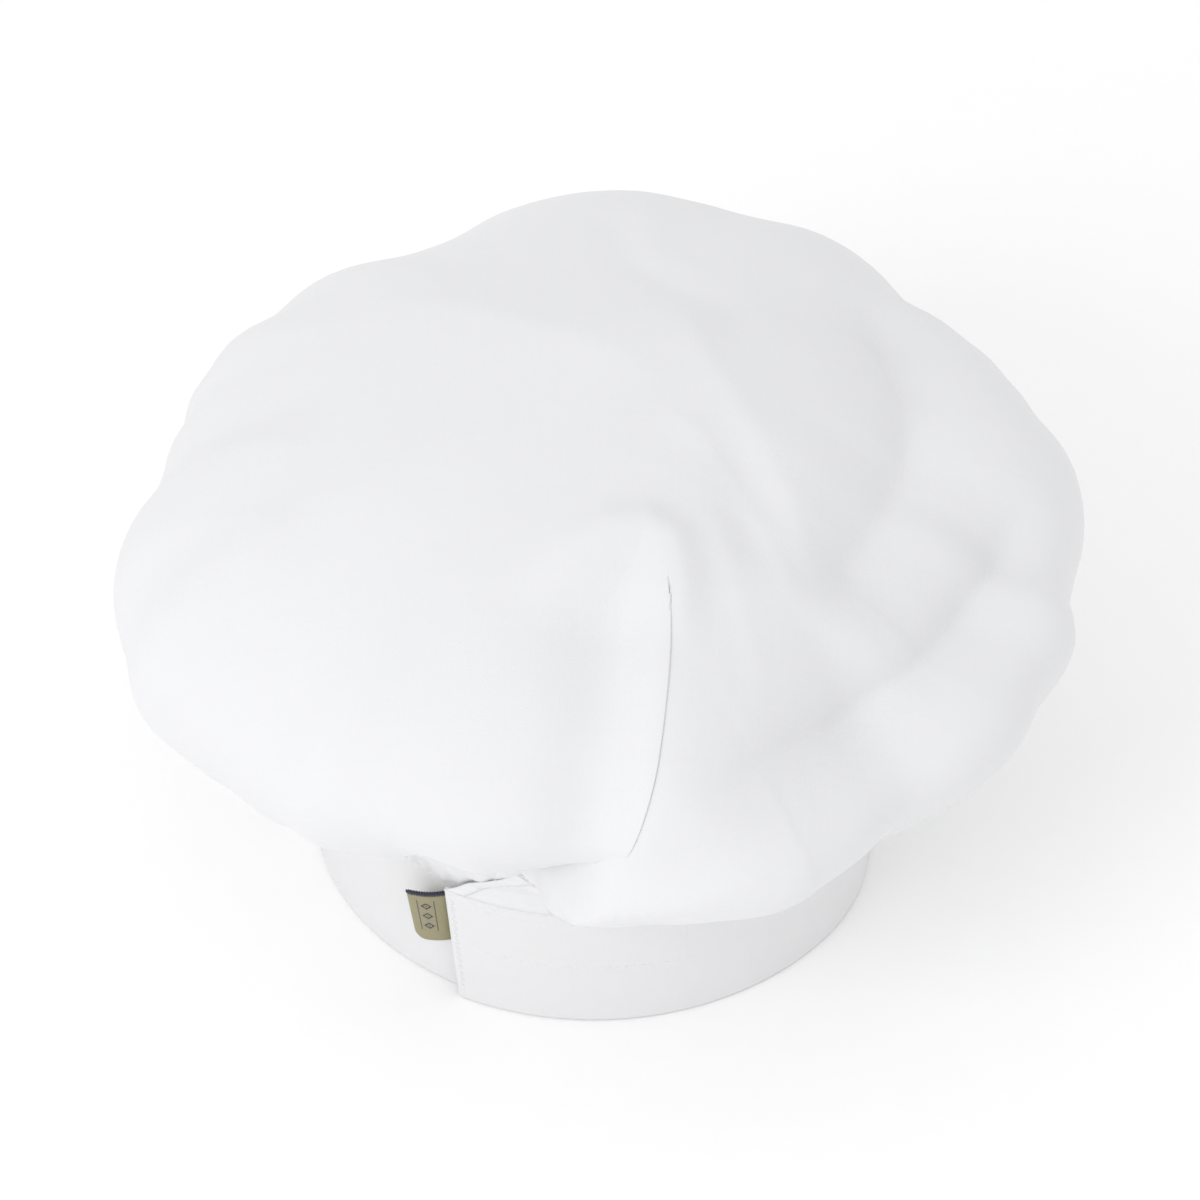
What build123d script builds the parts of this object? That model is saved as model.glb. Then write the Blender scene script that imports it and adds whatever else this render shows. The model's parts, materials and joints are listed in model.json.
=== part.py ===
"""A soft chef's toque: a puffed cloth crown gathered into a stiffened band that closes with hook and loop tape.

Millimetres. +Z is up, the band stands on Z = 0 and its axis is the Z axis. The wearer faces -Y, and the
closure is at the back, on +Y. Angles are in degrees, anticlockwise from +X seen from above, so the back is 90.
"""

import os
from math import asin, cos, degrees, radians, sin

from build123d import *

# Driving dimensions: the head, the cloth and the crown.
HEAD_RADIUS = 94.0  # a head of 590 mm round
BAND_HEIGHT = 50.0
CLOTH = 0.5  # one layer of cloth in the band
STIFFENER = 0.7
PLAY = 0.05  # between two pieces that lie against each other
JOINT_GAP = 0.3  # between two pieces that move apart
HOOK_TAPE = 1.1
LOOP_TAPE = 1.1
CROWN_RADIUS = 158.0
CROWN_HALF_HEIGHT = 73.0
CROWN_MIDDLE = 118.5  # height of the crown's widest ring
CROWN_RIM_RADIUS = 42.0  # how tightly the puffed rim curls
CROWN_CLOTH = 1.0  # the gathered cloth, folds included

# The closure's places round the band.
FLAP_END = 61.0
FLAP_ROOT = 141.0
TAIL_END = 136.0
STEP_HALF = 18.0  # each of the two bends that carry the band out over its own tail

# Tapes, label and stitching.
TAPE_LOW = 25.5
TAPE_HIGH = 46.0
HOOK_FROM, HOOK_TO = 64.0, 108.0
LOOP_FROM, LOOP_TO = 72.0, 132.0
SEAM_DEPTH = 8.0  # how far the crown's edge is caught inside the band
SEAM_FLOOR = 1.0  # between the stiffener's top and the crown's edge
LAP_RISE = 11.0  # crown cloth that stands above the flap
LAP_HEM = 5.0  # the narrow turned hem along the slit
LABEL_WIDTH = 14.0
LABEL_LOW, LABEL_HIGH = 24.5, 47.8
LABEL_CLOTH = 0.6  # two layers, folded
LABEL_EDGING = 1.6
LABEL_CORNER = 4.0
LABEL_STAND = 37.0  # degrees that the label stands out from the band at rest
THREAD = 0.35
STITCH_EDGE = 2.0  # from a seam to the row of stitches beside it

# What follows from them.
BAND_THICK = 2 * CLOTH + STIFFENER + 2 * PLAY
TAPE_SPACE = PLAY + LOOP_TAPE + JOINT_GAP + HOOK_TAPE + PLAY
STEP_OUT = BAND_THICK + TAPE_SPACE
EASE = STEP_OUT / (2 * (1 - cos(radians(STEP_HALF))))
STEP_START = FLAP_ROOT + 2 * STEP_HALF
MAIN_SWEEP = TAIL_END - STEP_START + 360.0
SEAM_LOW = BAND_HEIGHT - SEAM_DEPTH
STIFFENER_TOP = SEAM_LOW - SEAM_FLOOR
FLAP_RADIUS = HEAD_RADIUS + STEP_OUT
HALF_THREAD = THREAD / 2
# The crown's top and underside are one flat arc each, which meets the rim's arc smoothly.
CROWN_FLAT_RADIUS = (
    (CROWN_RADIUS - CROWN_RIM_RADIUS) ** 2 + CROWN_HALF_HEIGHT**2 - CROWN_RIM_RADIUS**2
) / (2 * (CROWN_HALF_HEIGHT - CROWN_RIM_RADIUS))
CROWN_LEAN = degrees(asin((CROWN_RADIUS - CROWN_RIM_RADIUS) / (CROWN_FLAT_RADIUS - CROWN_RIM_RADIUS)))


def polar(radius, angle):
    """A point at that radius and angle, seen from above."""
    return (radius * cos(radians(angle)), radius * sin(radians(angle)))


def gap_angle(gap, radius):
    """The angle that a gap spans at a radius."""
    return degrees(gap / radius)


def band_line(depth, angle_in=0.0):
    """The band seen from above, at a depth outward from its inner face: tail, round the head, out over the tail."""
    radius = HEAD_RADIUS + depth
    main = CenterArc((0, 0), radius, TAIL_END - angle_in, -(MAIN_SWEEP - angle_in))
    out_bend = JernArc(main @ 1, main % 1, radius + EASE, -STEP_HALF)
    JernArc(out_bend @ 1, out_bend % 1, radius + STEP_OUT - EASE, -STEP_HALF)


def band_face(inner, outer, angle_in=0.0):
    """The band's plan between two depths, closed at the tail's end and at the flap's root."""
    with BuildSketch() as plan:
        with BuildLine():
            band_line(inner, angle_in)
            band_line(outer, angle_in)
            Line(polar(HEAD_RADIUS + inner, TAIL_END - angle_in), polar(HEAD_RADIUS + outer, TAIL_END - angle_in))
            Line(polar(FLAP_RADIUS + inner, FLAP_ROOT), polar(FLAP_RADIUS + outer, FLAP_ROOT))
        make_face()
    return plan.sketch


def arc_face(inner, outer, start, end):
    """A plain arc's plan between two radii and two angles."""
    with BuildSketch() as plan:
        with BuildLine():
            CenterArc((0, 0), inner, start, end - start)
            CenterArc((0, 0), outer, start, end - start)
            Line(polar(inner, start), polar(outer, start))
            Line(polar(inner, end), polar(outer, end))
        make_face()
    return plan.sketch


def raise_face(face, low, high):
    """Turns a plan into a wall between two heights, in the part that is being built."""
    extrude(Plane.XY.offset(low) * face, amount=high - low)


def cut_face(face, low, high):
    """Takes a wall's space out of the part that is being built."""
    extrude(Plane.XY.offset(low) * face, amount=high - low, mode=Mode.SUBTRACT)


pieces = []


def finish(piece, name):
    piece.part.label = name
    pieces.append(piece.part)


# ---------------------------------------------------------------- the band, which stays with the crown
core_in, core_out = CLOTH, BAND_THICK - CLOTH
end_in = gap_angle(CLOTH, HEAD_RADIUS)

# One strip of cloth folded up along its lower edge, with its tail's end closed.
with BuildPart() as band_cloth:
    raise_face(band_face(0, BAND_THICK), 0, BAND_HEIGHT)
    cut_face(band_face(core_in, core_out, end_in), CLOTH, BAND_HEIGHT)
finish(band_cloth, "band_cloth")

with BuildPart() as band_stiffener:
    raise_face(band_face(core_in + PLAY, core_out - PLAY, 2 * end_in), CLOTH + PLAY, STIFFENER_TOP)
finish(band_stiffener, "band_stiffener")

loop_in = HEAD_RADIUS + BAND_THICK + PLAY
with BuildPart() as loop_tape:
    raise_face(arc_face(loop_in, loop_in + LOOP_TAPE, LOOP_FROM, LOOP_TO), TAPE_LOW, TAPE_HIGH)
finish(loop_tape, "loop_tape")


def box_of_thread(radius, start, end, low, high):
    """A rectangle of stitching on a round wall whose face is at that radius, between two angles and heights."""
    side = gap_angle(THREAD, radius)
    raise_face(arc_face(radius, radius + THREAD, start, end), low, high)
    cut_face(arc_face(radius - THREAD, radius + 2 * THREAD, start + side, end - side), low + THREAD, high - THREAD)


# The stitches that hold the loop tape show inside the hat, on the tail's inner face.
with BuildPart() as loop_tape_stitching:
    box_of_thread(
        HEAD_RADIUS - PLAY - THREAD, LOOP_FROM + 1, LOOP_TO - 1, TAPE_LOW + STITCH_EDGE, TAPE_HIGH - STITCH_EDGE
    )
finish(loop_tape_stitching, "loop_tape_stitching")

# The row that closes the band over the crown's edge, just under its upper edge.
row_in = BAND_THICK + PLAY
row_low = BAND_HEIGHT - STITCH_EDGE - HALF_THREAD
with BuildPart() as band_top_stitching:
    raise_face(band_face(row_in, row_in + THREAD, end_in), row_low, row_low + THREAD)
finish(band_top_stitching, "band_top_stitching")

tail_row = TAIL_END - gap_angle(STITCH_EDGE, HEAD_RADIUS)
with BuildPart() as tail_end_stitching:
    row_radius = HEAD_RADIUS + BAND_THICK + PLAY
    raise_face(
        arc_face(row_radius, row_radius + THREAD, tail_row - gap_angle(THREAD, row_radius), tail_row),
        STITCH_EDGE,
        row_low - STITCH_EDGE,
    )
finish(tail_end_stitching, "tail_end_stitching")

# ---------------------------------------------------------------- the crown
# A flattened round puff about the band's axis, open below, with a short neck that runs down into the band.
neck_out = HEAD_RADIUS + core_out - PLAY
neck_in = HEAD_RADIUS + core_in + PLAY


def crown_line(radius, shrink=0.0):
    """The crown's outline, shrunk by that much all round, from the top of its axis round the rim to a radius below."""
    flat, rim = CROWN_FLAT_RADIUS - shrink, CROWN_RIM_RADIUS - shrink
    top = (0, CROWN_MIDDLE + CROWN_HALF_HEIGHT - shrink)
    foot_lean = degrees(asin(radius / flat))
    over = JernArc(start=top, tangent=(1, 0), radius=flat, arc_size=-CROWN_LEAN)
    side = JernArc(start=over @ 1, tangent=over % 1, radius=rim, arc_size=2 * CROWN_LEAN - 180)
    under = JernArc(start=side @ 1, tangent=side % 1, radius=flat, arc_size=foot_lean - CROWN_LEAN)
    return over, under


with BuildPart() as crown:
    with BuildSketch(Plane.XZ) as section:
        with BuildLine():
            top_out, foot_out = crown_line(neck_out)
            top_in, foot_in = crown_line(neck_in, CROWN_CLOTH)
            Line(top_out @ 0, top_in @ 0)
            neck_foot = BAND_HEIGHT + PLAY
            Polyline(foot_in @ 1, (neck_in, neck_foot), (neck_out, neck_foot), foot_out @ 1)
        make_face()
    revolve(axis=Axis.Z)
    seam = arc_face(neck_in, neck_out, TAIL_END - 2 * end_in, STEP_START - 360.0)
    raise_face(seam, SEAM_LOW, neck_foot + 1)
finish(crown, "crown")

# ---------------------------------------------------------------- the flap, which peels open at the back
flap_end_in = gap_angle(CLOTH, FLAP_RADIUS)
root_gap = gap_angle(JOINT_GAP, FLAP_RADIUS)
flap_start = FLAP_ROOT - root_gap

with BuildPart() as flap_cloth:
    raise_face(arc_face(FLAP_RADIUS, FLAP_RADIUS + BAND_THICK, FLAP_END, flap_start), 0, BAND_HEIGHT)
    cut_face(
        arc_face(FLAP_RADIUS + core_in, FLAP_RADIUS + core_out, FLAP_END + flap_end_in, flap_start + 1),
        CLOTH,
        BAND_HEIGHT,
    )
finish(flap_cloth, "flap_cloth")

with BuildPart() as flap_stiffener:
    raise_face(
        arc_face(FLAP_RADIUS + core_in + PLAY, FLAP_RADIUS + core_out - PLAY, FLAP_END + 2 * flap_end_in, flap_start),
        CLOTH + PLAY,
        STIFFENER_TOP,
    )
finish(flap_stiffener, "flap_stiffener")

hook_out = FLAP_RADIUS - PLAY
with BuildPart() as hook_tape:
    raise_face(arc_face(hook_out - HOOK_TAPE, hook_out, HOOK_FROM, HOOK_TO), TAPE_LOW, TAPE_HIGH)
finish(hook_tape, "hook_tape")

flap_face = FLAP_RADIUS + BAND_THICK + PLAY
with BuildPart() as hook_tape_stitching:
    box_of_thread(flap_face, HOOK_FROM + 0.6, HOOK_TO - 0.6, TAPE_LOW + THREAD, TAPE_HIGH - THREAD)
finish(hook_tape_stitching, "hook_tape_stitching")

with BuildPart() as flap_top_stitching:
    raise_face(arc_face(flap_face, flap_face + THREAD, FLAP_END + end_in, flap_start), row_low, row_low + THREAD)
finish(flap_top_stitching, "flap_top_stitching")

flap_row = FLAP_END + gap_angle(STITCH_EDGE, flap_face)
with BuildPart() as flap_end_stitching:
    raise_face(
        arc_face(flap_face, flap_face + THREAD, flap_row, flap_row + gap_angle(THREAD, flap_face)),
        STITCH_EDGE,
        row_low - 2 * PLAY,
    )
finish(flap_end_stitching, "flap_end_stitching")

# The crown cloth that is sewn into the flap: the slit's free side, with its narrow turned hem.
lap_in, lap_out = FLAP_RADIUS + core_in + PLAY, FLAP_RADIUS + core_out - PLAY
hem_angle = gap_angle(LAP_HEM, FLAP_RADIUS)
lap_start = FLAP_END + 2 * flap_end_in
with BuildPart() as crown_slit_lap:
    raise_face(arc_face(lap_in, lap_out, lap_start, flap_start), SEAM_LOW, BAND_HEIGHT + LAP_RISE)
finish(crown_slit_lap, "crown_slit_lap")

hem_out = lap_out + PLAY + CLOTH
with BuildPart() as slit_hem:
    raise_face(
        arc_face(lap_out + PLAY, hem_out, lap_start, lap_start + hem_angle),
        BAND_HEIGHT + PLAY,
        BAND_HEIGHT + LAP_RISE,
    )
finish(slit_hem, "slit_hem")

with BuildPart() as slit_hem_stitching:
    hem_row = lap_start + hem_angle * 0.8
    raise_face(
        arc_face(hem_out + PLAY, hem_out + PLAY + THREAD, hem_row, hem_row + gap_angle(THREAD, hem_out)),
        BAND_HEIGHT + 2 * PLAY,
        BAND_HEIGHT + LAP_RISE - THREAD,
    )
finish(slit_hem_stitching, "slit_hem_stitching")

# ---------------------------------------------------------------- the label, caught in the flap's end
# It leaves the end's inner half and stands out, clear of the tail.
label_root = polar(FLAP_RADIUS + LABEL_CLOTH, FLAP_END - gap_angle(JOINT_GAP, FLAP_RADIUS))
lean = radians(FLAP_END + LABEL_STAND)
label_plane = Plane(
    origin=(label_root[0], label_root[1], 0),
    x_dir=(sin(lean), -cos(lean), 0),
    z_dir=(-cos(lean), -sin(lean), 0),
)


def label_face(low, high, corner=0.0):
    """One height of the label, hanging from its sewn side, with its free lower corner rounded if asked."""
    with BuildSketch(label_plane) as plate:
        with Locations((LABEL_WIDTH / 2, (low + high) / 2)):
            Rectangle(LABEL_WIDTH, high - low)
        if corner:
            free_corner = plate.vertices().sort_by(Axis.Y)[:2].sort_by(Axis.X)[-1]
            fillet(free_corner, corner)
    return plate.sketch


with BuildPart() as woven_label:
    extrude(label_face(LABEL_LOW, LABEL_HIGH - LABEL_EDGING, LABEL_CORNER), amount=LABEL_CLOTH)
finish(woven_label, "woven_label")

with BuildPart() as label_edging:
    extrude(label_face(LABEL_HIGH - LABEL_EDGING + PLAY, LABEL_HIGH), amount=LABEL_CLOTH)
finish(label_edging, "label_edging")

os.makedirs("parts", exist_ok=True)
for piece in pieces:
    export_step(piece, f"parts/{piece.label}.step")
    box = piece.bounding_box()
    print(piece.label, round(piece.volume, 1), box.min, box.max)
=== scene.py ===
"""Looks of a soft chef's toque: a puffed cloth crown, the stiffened band it is gathered into, and its closure.

Metres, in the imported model's frame: +Z up, the band stands on Z = 0 round the Z axis, the back and its closure
are on +Y. Angles are in degrees, anticlockwise from +X seen from above. The crown's cloth is described on its
flat cut: a point's distance from the middle of the cut, and its angle, are those of the gathered cloth.
"""

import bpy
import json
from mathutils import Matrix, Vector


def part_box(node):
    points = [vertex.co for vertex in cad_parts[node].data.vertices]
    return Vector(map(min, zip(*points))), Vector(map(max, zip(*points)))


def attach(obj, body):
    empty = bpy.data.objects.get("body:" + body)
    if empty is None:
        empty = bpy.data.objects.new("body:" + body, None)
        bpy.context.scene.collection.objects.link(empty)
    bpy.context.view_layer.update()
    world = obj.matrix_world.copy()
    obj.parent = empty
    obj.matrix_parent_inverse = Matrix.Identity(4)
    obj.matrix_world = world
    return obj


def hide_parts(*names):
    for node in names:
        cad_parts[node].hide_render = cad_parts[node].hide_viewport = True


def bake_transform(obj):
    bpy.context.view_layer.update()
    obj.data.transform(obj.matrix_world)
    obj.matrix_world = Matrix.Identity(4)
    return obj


bl_info = {
    "name": "Soft Toque",
    "version": (1, 0, 0),
    "blender": (4, 5, 0),
    "location": "3D View > Sidebar > Toque",
    "description": "Cloth, stitching, tapes, label and studio for a soft chef's toque",
    "category": "Object",
}

import json
from math import cos, pi, radians, sin

import bpy
import numpy as np
from mathutils import Vector

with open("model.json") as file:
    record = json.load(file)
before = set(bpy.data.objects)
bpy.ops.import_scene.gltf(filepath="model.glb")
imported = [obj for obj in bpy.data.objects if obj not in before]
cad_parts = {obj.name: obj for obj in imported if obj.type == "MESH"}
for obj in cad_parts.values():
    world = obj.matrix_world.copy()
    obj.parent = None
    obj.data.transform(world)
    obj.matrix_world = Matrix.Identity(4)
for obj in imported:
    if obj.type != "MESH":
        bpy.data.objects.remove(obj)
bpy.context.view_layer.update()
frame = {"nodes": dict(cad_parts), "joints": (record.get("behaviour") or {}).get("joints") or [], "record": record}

MM = 0.001
MOUNTS = {mount["name"]: mount for mount in frame["record"]["mounts"]}
JOINTS = {joint["name"]: joint for joint in frame["joints"]}
HEAD_RADIUS = MOUNTS["head_opening"]["dims"]["r_mm"] * MM
BAND_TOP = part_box("band_cloth")[1].z
BAND_THICK = 1.8 * MM
FLAP_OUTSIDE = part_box("flap_cloth")[1].y
STEP_OUT = FLAP_OUTSIDE - BAND_THICK - HEAD_RADIUS
LABEL_ROOT = Vector(JOINTS["label_flip"]["pos_m"])

# The band runs clockwise seen from above: tail's end, round the head, out over the tail, flap's end.
TAIL_END = 136.0
STEP_FROM, STEP_TO = -183.0, -219.0
FLAP_END = -299.0
END_SLOPE = 2.5  # how much further back the foot of the flap's end is
BAND_SPLIT = -120.0  # the band's cloth is made as two pieces, split at this angle
HOOK_BOX, LOOP_BOX = (-295.4, -252.6), (73.0, 131.0)  # the boxes of stitches that hold the tapes
HOOK_TAPE, LOOP_TAPE = (-296.0, -252.0), (72.0, 132.0)
LABEL_WIDTH = 0.014
LABEL_FACES = 98.0  # the angle that the label's face looks along
LABEL_REACH = 0.026  # from the band's top down to the label's foot
BAND_RADIUS = 0.097  # the band's usual radius, where an angle is turned into a length of cloth
BAND_FLAT_RADIUS = 0.0965  # the same for the whole length of the flat cloth
STITCH_RADIUS = 0.098  # the same for the rows of stitches
BAND_CLOTH = 0.45 * MM  # the cloth's own thickness


# ---------------------------------------------------------------- numbers


def smooth(low, high, value):
    """0 below low, 1 above high, with an even curve between."""
    t = np.clip((np.asarray(value, float) - low) / (high - low), 0, 1)
    return t * t * (3 - 2 * t)


def bell(value, width):
    return np.exp(-((value / width) ** 2))


def mixed(a, b, share):
    return a + (b - a) * share


def round_curve(knots, at, period=None):
    """A smooth curve through (place, value) knots, read at many places."""
    x, y = (np.array(side, float) for side in zip(*sorted(knots)))
    if period:
        x = np.concatenate([x[-2:] - period, x, x[:2] + period])
        y = np.concatenate([y[-2:], y, y[:2]])
        at = (np.asarray(at, float) - x[2]) % period + x[2]
    slope = np.gradient(y, x)
    at = np.clip(at, x[0], x[-1])
    i = np.clip(np.searchsorted(x, at) - 1, 0, len(x) - 2)
    gap = x[i + 1] - x[i]
    t = (at - x[i]) / gap
    return (
        (2 * t**3 - 3 * t**2 + 1) * y[i]
        + (t**3 - 2 * t**2 + t) * gap * slope[i]
        + (3 * t**2 - 2 * t**3) * y[i + 1]
        + (t**3 - t**2) * gap * slope[i + 1]
    )


def crease(value, width):
    """1 in the middle, falling off on both sides from a narrow rounded crest."""
    return np.exp(-(np.sqrt(value**2 + 9) - 3) / width)


def waves(rng, at, count, low, high):
    """Uneven waves round a circle of angles, from -1 to 1, each with low to high crests."""
    total = np.zeros(np.shape(at))
    for _ in range(count):
        turns = rng.integers(low, high + 1)
        height, start = rng.uniform(0.5, 1), rng.uniform(0, 2 * pi)
        total = total + height * np.sin(2 * pi * turns * np.asarray(at) / 360 + start)
    return total / (0.55 * count)


def near_path(x, y, points):
    """How far each place is from a path, how far along it in shares of its length, and which side it is on."""
    best = np.full(np.shape(x), 1e9)
    along, side = np.zeros(np.shape(x)), np.ones(np.shape(x))
    points = np.array(points, float)
    lengths = np.linalg.norm(np.diff(points, axis=0), axis=1)
    starts = np.concatenate([[0], np.cumsum(lengths)])
    for a, b, length, start in zip(points[:-1], points[1:], lengths, starts):
        dx, dy = (b - a) / length
        t = np.clip((x - a[0]) * dx + (y - a[1]) * dy, 0, length)
        away_x, away_y = x - a[0] - t * dx, y - a[1] - t * dy
        distance = np.hypot(away_x, away_y)
        closer = distance < best
        best = np.where(closer, distance, best)
        along = np.where(closer, (start + t) / starts[-1], along)
        side = np.where(closer, np.sign(dx * away_y - dy * away_x), side)
    return best, along, side


def mesh_object(name, points, faces):
    """A new smooth-shaded object at the origin from points in metres."""
    mesh = bpy.data.meshes.new(name)
    mesh.from_pydata([tuple(p) for p in points], [], [tuple(int(i) for i in f) for f in faces])
    mesh.update()
    mesh.shade_smooth()
    made = bpy.data.objects.new(name, mesh)
    bpy.context.scene.collection.objects.link(made)
    return made


def grid_faces(rows, columns, around=False):
    """The quads of a grid of points kept row by row."""
    last = columns if around else columns - 1
    r, c = np.meshgrid(np.arange(rows - 1), np.arange(last), indexing="ij")
    d = (c + 1) % columns
    row, below = r * columns, (r + 1) * columns
    return np.stack([row + c, row + d, below + d, below + c], axis=-1).reshape(-1, 4)


def pick(*objects):
    """Selects only these, the first one active."""
    bpy.ops.object.select_all(action="DESELECT")
    for each in objects:
        each.select_set(True)
    bpy.context.view_layer.objects.active = objects[0]


def as_cloth(piece, thickness, material, offset=0):
    """Gives a sheet its thickness and material. offset is -1 where the sheet is the cloth's outer face."""
    modifier = piece.modifiers.new("Solidify", "SOLIDIFY")
    modifier.thickness, modifier.offset = thickness, offset
    pick(piece)
    bpy.ops.object.modifier_apply(modifier=modifier.name)
    piece.data.shade_smooth()
    piece.data.materials.append(material)


def closed_tube(name, points, sides, material):
    """A piece from rings of points, with both ends closed and its faces turned outward."""
    points = points.reshape(-1, 3)
    faces = [list(f) for f in grid_faces(len(points) // sides, sides, around=True)]
    faces += [list(range(sides))[::-1], list(range(len(points) - sides, len(points)))]
    piece = mesh_object(name, points, faces)
    pick(piece)
    bpy.ops.object.mode_set(mode="EDIT")
    bpy.ops.mesh.select_all(action="SELECT")
    bpy.ops.mesh.normals_make_consistent(inside=False)
    bpy.ops.object.mode_set(mode="OBJECT")
    piece.data.materials.append(material)
    return piece


def z_range(node):
    """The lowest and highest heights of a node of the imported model."""
    low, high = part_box(node)
    return low.z, high.z


# ---------------------------------------------------------------- shader maths


def feed(node, **values):
    """Sets a node's inputs. A value may be a number, a colour or a Wire; _0 is an input by its place."""
    for name, value in values.items():
        socket = node.inputs[int(name[1:]) if name[0] == "_" else name.replace("_", " ")]
        if isinstance(value, Wire):
            value.tree.links.new(value.socket, socket)
        else:
            socket.default_value = value


class Wire:
    """One output of a shader node, that can be used in an expression."""

    def __init__(self, tree, socket):
        self.tree, self.socket = tree, socket

    def node(self, kind, settings=None, **values):
        """Adds a node with these settings and inputs."""
        made = self.tree.nodes.new(kind)
        for name, value in (settings or {}).items():
            setattr(made, name, value)
        feed(made, **values)
        return made

    def out(self, kind, output=0, settings=None, **values):
        return Wire(self.tree, self.node(kind, settings, **values).outputs[output])

    def maths(self, operation, *values):
        named = {f"_{i}": value for i, value in enumerate(values)}
        return self.out("ShaderNodeMath", 0, {"operation": operation}, **named)

    def __add__(self, other):
        return self.maths("ADD", self, other)

    def __sub__(self, other):
        return self.maths("SUBTRACT", self, other)

    def __rsub__(self, other):
        return self.maths("SUBTRACT", other, self)

    def __mul__(self, other):
        return self.maths("MULTIPLY", self, other)

    def __truediv__(self, other):
        return self.maths("DIVIDE", self, other)

    def sine(self):
        return self.maths("SINE", self)

    def size(self):
        return self.maths("ABSOLUTE", self)

    def least(self, other):
        return self.maths("MINIMUM", self, other)

    def ramp(self, low, high, start=0.0, end=1.0):
        """Goes evenly from start to end as this goes from low to high, and stays there."""
        values = {"_0": self, "_1": low, "_2": high, "_3": start, "_4": end}
        return self.out("ShaderNodeMapRange", 0, {"clamp": True}, **values)

    def colours(self, first, second):
        """first where this is 0, second where it is 1."""
        return self.out("ShaderNodeMix", 2, {"data_type": "RGBA"}, _0=self, _6=first, _7=second)

    def noise(self, scale, detail=3.0, roughness=0.5, stretch=(1, 1, 1)):
        """Noise over the place this wire carries."""
        moved = self.out("ShaderNodeMapping", 0, None, Vector=self, Scale=stretch)
        return self.out("ShaderNodeTexNoise", 0, None, Vector=moved, Scale=scale, Detail=detail, Roughness=roughness)

    def bump(self, strength, distance, **under):
        """The way the surface faces when this wire raises it."""
        return self.out("ShaderNodeBump", 0, None, Height=self, Strength=strength, Distance=distance, **under)

    def parts(self):
        split = self.node("ShaderNodeSeparateXYZ", None, Vector=self)
        return [Wire(self.tree, split.outputs[i]) for i in range(3)]


def toned(colour, factor=1.0):
    """A colour times a factor, with its alpha."""
    return (*(factor * c for c in colour), 1.0)


def new_material(name):
    """A material with only a Principled shader, its shader, and a Wire that carries the place in metres."""
    material = bpy.data.materials.new(name)
    material.use_nodes = True
    tree = material.node_tree
    tree.nodes.clear()
    surface = tree.nodes.new("ShaderNodeBsdfPrincipled")
    result = tree.nodes.new("ShaderNodeOutputMaterial")
    tree.links.new(surface.outputs[0], result.inputs[0])
    return material, surface, Wire(tree, None).out("ShaderNodeTexCoord", 3)


def cloth_material(name, colour, crumple=0.5):
    """Plain woven cotton, with its threads on the piece's own UV map in metres, faint slubs and soft crumpling."""
    material, surface, place = new_material(name)
    cut = place.out("ShaderNodeUVMap", 0, {"uv_map": "cut"})
    across, along, _ = cut.parts()
    warps, wefts = 1450.0, 1250.0  # threads in a metre
    over = ((across * (2 * pi * warps)).sine() * (along * (2 * pi * wefts)).sine()).ramp(-1, 1)
    slub = cut.noise(40, 4, 0.6, (0.4, 14, 1))
    slub_across = cut.noise(40, 4, 0.6, (14, 0.4, 1))
    shade = place.noise(9, 3, 0.5)
    fine = place.noise(160, 5, 0.65)
    tone = (slub * 0.35 + slub_across * 0.25 + shade * 0.4).ramp(0.3, 0.7)
    weave = (over * 0.3 + slub * 0.5 + slub_across * 0.5).bump(0.35, 0.00025)
    soft = place.noise(34, 4, 0.55) * 0.7 + fine * 0.1
    feed(
        surface,
        Base_Color=tone.colours(toned(colour, 0.975), toned(colour)),
        Roughness=over * 0.06 + fine * 0.08 + 0.78,
        Normal=soft.bump(crumple, 0.0012, Normal=weave),
        Sheen_Weight=0.25,
        Sheen_Roughness=0.5,
        Specular_IOR_Level=0.25,
    )
    return material


def thread_material(name, colour):
    """Two-ply sewing thread: a fine twist over each stitch."""
    material, surface, place = new_material(name)
    x, y, z = place.parts()
    twist = ((x + y + z * 1.7) * 9000.0).sine().ramp(-1, 1)
    tone = (twist * 0.5 + place.noise(300, 2) * 0.5).ramp(0.2, 0.8)
    shades = tone.colours(toned(colour, 0.9), toned(colour))
    feed(surface, Base_Color=shades, Normal=twist.bump(0.4, 0.0001), Roughness=0.55, Sheen_Weight=0.2)
    return material


def tape_material(name, colour, grain, depth):
    """Woven nylon tape under its pile or hooks."""
    material, surface, place = new_material(name)
    pile = place.out("ShaderNodeTexVoronoi", 0, {"feature": "F1"}, Vector=place, Scale=grain)
    fuzz = place.noise(grain * 1.5, 4, 0.7)
    tone = (pile * 0.6 + fuzz * 0.4).ramp(0.1, 0.7)
    feed(
        surface,
        Base_Color=tone.colours(toned(colour), toned(colour, 0.84)),
        Normal=(1 - pile * 0.8 + fuzz * 0.5).bump(0.8, depth),
        Roughness=fuzz.ramp(0.2, 0.8, 0.55, 0.9),
        Sheen_Weight=0.35,
    )
    return material


# ---------------------------------------------------------------- the crown's shape
# Places on the flat cut, in millimetres from its middle: +X is the wearer's left as seen from behind, +Y the back.

PLEAT_START = 80.0
PLEAT_MIDDLE = 95.0  # the angle that the rows of points start and end about
CLOSURE = 90.0  # the angle of the back's middle
SEAM_RADIUS = 94.9


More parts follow.
